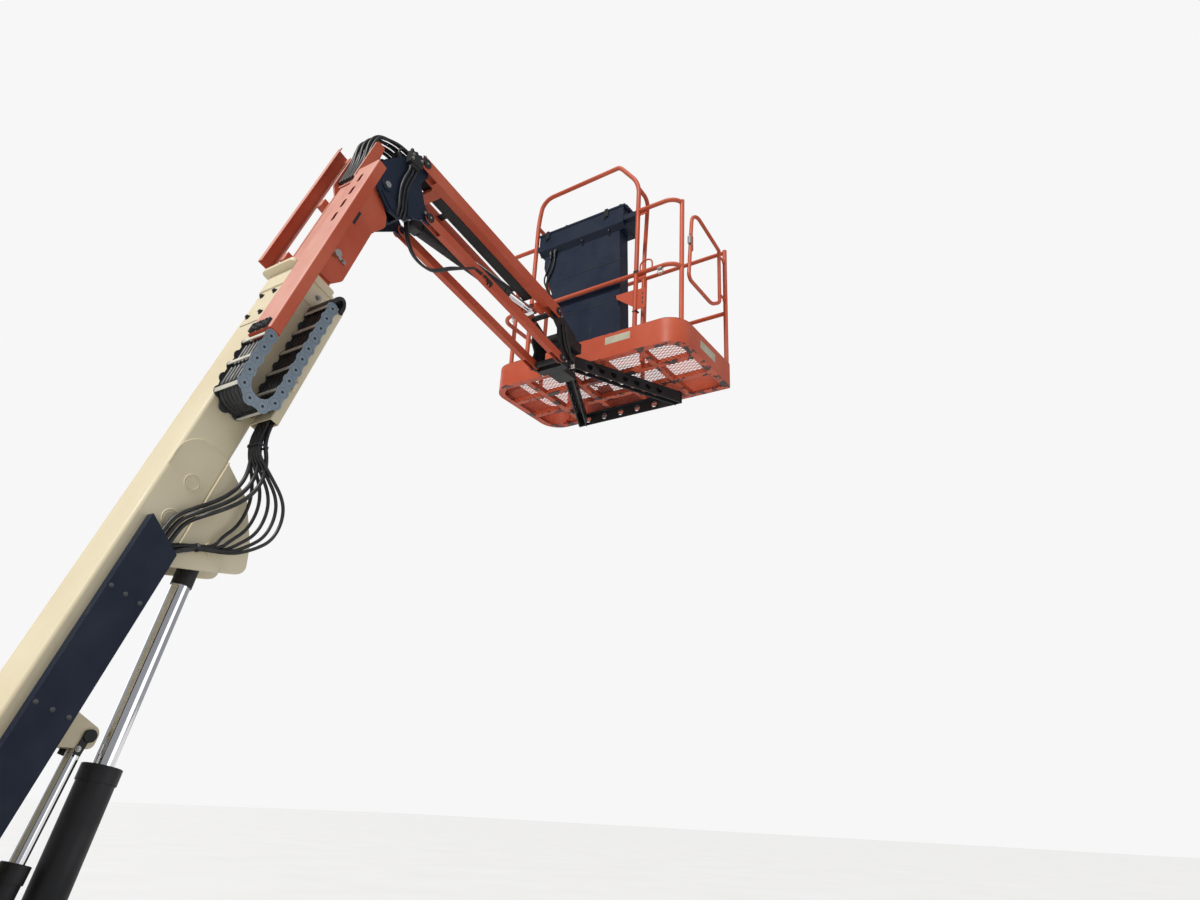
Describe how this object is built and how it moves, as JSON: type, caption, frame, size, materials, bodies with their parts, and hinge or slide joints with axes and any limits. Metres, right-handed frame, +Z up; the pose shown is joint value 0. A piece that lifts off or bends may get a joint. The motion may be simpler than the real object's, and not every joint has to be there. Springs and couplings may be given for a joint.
{
  "type": "articulating boom lift",
  "caption": "Articulating boom lift with a parallel-link tower, telescoping main boom with a power track, parallelogram jib and a turning work platform with a holed support frame.",
  "frame": {"origin": "on the ground under the middle of the outline box, with the booms as in the picture", "axes": "+X forward, the way the boom reaches over the steered axle; +Y to the machine's left; +Z up"},
  "size_m": [4.1351, 1.93, 6.2481],
  "materials": {
    "cream_paint": "satin",
    "orange_paint": "satin, faded",
    "navy_paint": "satin",
    "black_paint": "satin",
    "chrome_rod": "polished",
    "zinc_steel": "satin",
    "black_hose": "matte",
    "solid_tyre": "matte",
    "cast_grey": "painted dark grey"
  },
  "bodies": {
    "chassis": {"chassis_frame": "black_paint", "swing_bearing": "cast_grey"},
    "steer_left": {"steer_knuckle_left": "black_paint"},
    "steer_right": {"steer_knuckle_right": "black_paint"},
    "tie_rod": {"tie_rod": "zinc_steel"},
    "wheel_front_left": {"tyre_front_left": "solid_tyre", "rim_front_left": "cream_paint"},
    "wheel_front_right": {"tyre_front_right": "solid_tyre", "rim_front_right": "cream_paint"},
    "wheel_rear_left": {"tyre_rear_left": "solid_tyre", "rim_rear_left": "cream_paint"},
    "wheel_rear_right": {"tyre_rear_right": "solid_tyre", "rim_rear_right": "cream_paint"},
    "turntable": {"turntable_frame": "black_paint", "counterweight": "cast_grey", "engine_block": "cast_grey", "tank_unit": "navy_paint", "ground_control_box": "navy_paint"},
    "hood_left": {"hood_left": "navy_paint"},
    "hood_right": {"hood_right": "navy_paint"},
    "tower": {"tower_boom": "cream_paint"},
    "link": {"tower_link": "cream_paint"},
    "upright": {"upright": "cream_paint"},
    "tower_barrel": {"tower_barrel": "black_paint"},
    "tower_rod": {"tower_rod": "chrome_rod"},
    "boom": {"boom_base": "cream_paint", "side_cover": "navy_paint", "hose_trough": "cream_paint", "power_track": "zinc_steel", "boom_hose_1": "black_hose", "boom_hose_2": "black_hose", "boom_hose_3": "black_hose"},
    "lift_barrel": {"lift_barrel": "black_paint"},
    "lift_rod": {"lift_rod": "chrome_rod"},
    "master_barrel": {"master_barrel": "black_paint"},
    "master_rod": {"master_rod": "chrome_rod"},
    "fly": {"fly_boom": "orange_paint", "push_tube": "orange_paint", "fly_channel": "orange_paint"},
    "knuckle": {"knuckle": "navy_paint"},
    "slave_barrel": {"slave_barrel": "black_paint"},
    "slave_rod": {"slave_rod": "chrome_rod"},
    "jib_upper": {"jib_upper_arms": "orange_paint", "jib_tray": "black_paint"},
    "jib_lower": {"jib_lower_arm_left": "orange_paint", "jib_lower_arm_right": "orange_paint"},
    "jib_barrel": {"jib_barrel": "black_paint", "jib_pipe": "zinc_steel"},
    "jib_rod": {"jib_rod": "chrome_rod"},
    "jib_end": {"jib_end_support": "black_paint"},
    "platform": {"platform_support": "black_paint", "platform_frame": "orange_paint", "platform_mesh": "zinc_steel", "platform_rails": "orange_paint", "console": "navy_paint"},
    "gate": {"gate": "orange_paint"}
  },
  "joints": [
    {"name": "steer_left", "type": "hinge", "parent": "chassis", "child": "steer_left", "pos_m": [-0.05756, 0.64, 0.36], "axis": [0, 0, 1], "range_deg": [-40, 40]},
    {"name": "steer_right", "type": "hinge", "parent": "chassis", "child": "steer_right", "pos_m": [-0.05756, -0.64, 0.36], "axis": [0, 0, 1], "range_deg": [-40.1, 40.1]},
    {"name": "tie_rod_pivot", "type": "hinge", "parent": "steer_left", "child": "tie_rod", "pos_m": [0.09244, 0.64, 0.36], "axis": [0, 0, 1], "range_deg": [-40.1, 40.1]},
    {"name": "wheel_front_left", "type": "hinge", "parent": "steer_left", "child": "wheel_front_left", "pos_m": [-0.05756, 0.845, 0.36], "axis": [0, 1, 0], "continuous": true},
    {"name": "wheel_front_right", "type": "hinge", "parent": "steer_right", "child": "wheel_front_right", "pos_m": [-0.05756, -0.845, 0.36], "axis": [0, 1, 0], "continuous": true},
    {"name": "wheel_rear_left", "type": "hinge", "parent": "chassis", "child": "wheel_rear_left", "pos_m": [-1.70756, 0.845, 0.36], "axis": [0, 1, 0], "continuous": true},
    {"name": "wheel_rear_right", "type": "hinge", "parent": "chassis", "child": "wheel_rear_right", "pos_m": [-1.70756, -0.845, 0.36], "axis": [0, 1, 0], "continuous": true},
    {"name": "swing", "type": "hinge", "parent": "chassis", "child": "turntable", "pos_m": [-0.88256, 0, 0.64], "axis": [0, 0, 1], "range_deg": [-180, 180]},
    {"name": "hood_left", "type": "hinge", "parent": "turntable", "child": "hood_left", "pos_m": [-0.88256, 0.236, 1.4], "axis": [1, 0, 0], "range_deg": [0, 60]},
    {"name": "hood_right", "type": "hinge", "parent": "turntable", "child": "hood_right", "pos_m": [-0.88256, -0.236, 1.4], "axis": [-1, 0, 0], "range_deg": [0, 60]},
    {"name": "tower_lift", "type": "hinge", "parent": "turntable", "child": "tower", "pos_m": [-0.33256, 0, 0.985], "axis": [0, 1, 0], "range_deg": [0, 72]},
    {"name": "tower_link", "type": "hinge", "parent": "turntable", "child": "link", "pos_m": [-0.36256, 0, 0.835], "axis": [0, 1, 0], "range_deg": [-0.1, 72.1]},
    {"name": "tower_level", "type": "hinge", "parent": "tower", "child": "upright", "pos_m": [-1.58256, 0, 0.88], "axis": [0, 1, 0], "range_deg": [-72.1, 0.1]},
    {"name": "tower_cylinder_tilt", "type": "hinge", "parent": "turntable", "child": "tower_barrel", "pos_m": [-1.30256, 0, 0.765], "axis": [0, -1, 0], "range_deg": [-0.1, 33.9]},
    {"name": "tower_cylinder", "type": "slide", "parent": "tower_barrel", "child": "tower_rod", "axis": [0.9977, 0, 0.0676], "range_m": [-0.001, 0.2696]},
    {"name": "boom_lift", "type": "hinge", "parent": "upright", "child": "boom", "pos_m": [-1.58256, 0, 1.5], "axis": [0, -1, 0], "range_deg": [-73.7, 1.3]},
    {"name": "lift_cylinder_tilt", "type": "hinge", "parent": "upright", "child": "lift_barrel", "pos_m": [-1.27956, 0, 1.07], "axis": [0, -1, 0], "range_deg": [-66.5, 1.3]},
    {"name": "lift_cylinder", "type": "slide", "parent": "lift_barrel", "child": "lift_rod", "axis": [0.1722, 0, 0.9851], "range_m": [-0.604, 0.0107]},
    {"name": "master_cylinder_tilt", "type": "hinge", "parent": "upright", "child": "master_barrel", "pos_m": [-1.37256, 0, 1.35], "axis": [0, -1, 0], "range_deg": [-79.9, 1.5]},
    {"name": "master_cylinder", "type": "slide", "parent": "master_barrel", "child": "master_rod", "axis": [0.2246, 0, 0.9745], "range_m": [-0.3045, 0.0055]},
    {"name": "boom_extend", "type": "slide", "parent": "boom", "child": "fly", "axis": [0.2974, 0, 0.9548], "range_m": [0, 1.85]},
    {"name": "jib_level", "type": "hinge", "parent": "fly", "child": "knuckle", "pos_m": [-0.5437, 0, 4.70088], "axis": [0, -1, 0], "range_deg": [-1.4, 73.8]},
    {"name": "slave_cylinder_tilt", "type": "hinge", "parent": "fly", "child": "slave_barrel", "pos_m": [-0.73272, 0, 4.16798], "axis": [0, -1, 0], "range_deg": [-0.1, 1.7]},
    {"name": "slave_cylinder", "type": "slide", "parent": "slave_barrel", "child": "slave_rod", "axis": [0.526, 0, 0.8505], "range_m": [-0.0029, 0.1565]},
    {"name": "jib_lift", "type": "hinge", "parent": "knuckle", "child": "jib_upper", "pos_m": [-0.3377, 0, 4.98588], "axis": [0, -1, 0], "range_deg": [-50.3, 93.7]},
    {"name": "jib_link", "type": "hinge", "parent": "knuckle", "child": "jib_lower", "pos_m": [-0.2547, 0, 4.69588], "axis": [0, -1, 0], "range_deg": [-50.4, 93.8]},
    {"name": "platform_level", "type": "hinge", "parent": "jib_upper", "child": "jib_end", "pos_m": [0.88556, 0, 4.77678], "axis": [0, -1, 0], "range_deg": [-93.8, 50.4]},
    {"name": "jib_cylinder_tilt", "type": "hinge", "parent": "jib_upper", "child": "jib_rod", "pos_m": [0.7694, 0, 4.75605], "axis": [0, -1, 0], "range_deg": [-2.9, 1.6]},
    {"name": "jib_cylinder", "type": "slide", "parent": "jib_rod", "child": "jib_barrel", "axis": [-0.9983, 0, -0.0587], "range_m": [-0.207, 0.3845]},
    {"name": "platform_turn", "type": "hinge", "parent": "jib_end", "child": "platform", "pos_m": [1.15956, 0, 4.63278], "axis": [0, 0, 1], "range_deg": [-90, 90]},
    {"name": "gate_swing", "type": "hinge", "parent": "platform", "child": "gate", "pos_m": [2.02096, -0.7387, 5.53278], "axis": [0, 0, 1], "range_deg": [0, 85]}
  ],
  "couplings": [
    {"joint": "steer_right", "follows": "steer_left", "ratio": 1},
    {"joint": "tie_rod_pivot", "follows": "steer_left", "ratio": -1},
    {"joint": "tower_link", "follows": "tower_lift", "ratio": 1},
    {"joint": "tower_level", "follows": "tower_lift", "ratio": -1},
    {"joint": "tower_cylinder_tilt", "follows": "tower_lift", "ratio": 0.4691},
    {"joint": "tower_cylinder", "follows": "tower_lift", "m_per_rad": 0.2143},
    {"joint": "lift_cylinder_tilt", "follows": "boom_lift", "ratio": 0.9},
    {"joint": "lift_cylinder", "follows": "boom_lift", "m_per_rad": 0.469},
    {"joint": "master_cylinder_tilt", "follows": "boom_lift", "ratio": 1.082},
    {"joint": "master_cylinder", "follows": "boom_lift", "m_per_rad": 0.2365},
    {"joint": "jib_level", "follows": "boom_lift", "ratio": -1},
    {"joint": "slave_cylinder_tilt", "follows": "boom_lift", "ratio": -0.022},
    {"joint": "slave_cylinder", "follows": "boom_lift", "m_per_rad": -0.1215},
    {"joint": "jib_link", "follows": "jib_lift", "ratio": 1},
    {"joint": "platform_level", "follows": "jib_lift", "ratio": -1},
    {"joint": "jib_cylinder_tilt", "follows": "jib_lift", "ratio": -0.03},
    {"joint": "jib_cylinder", "follows": "jib_lift", "m_per_rad": 0.235}
  ]
}
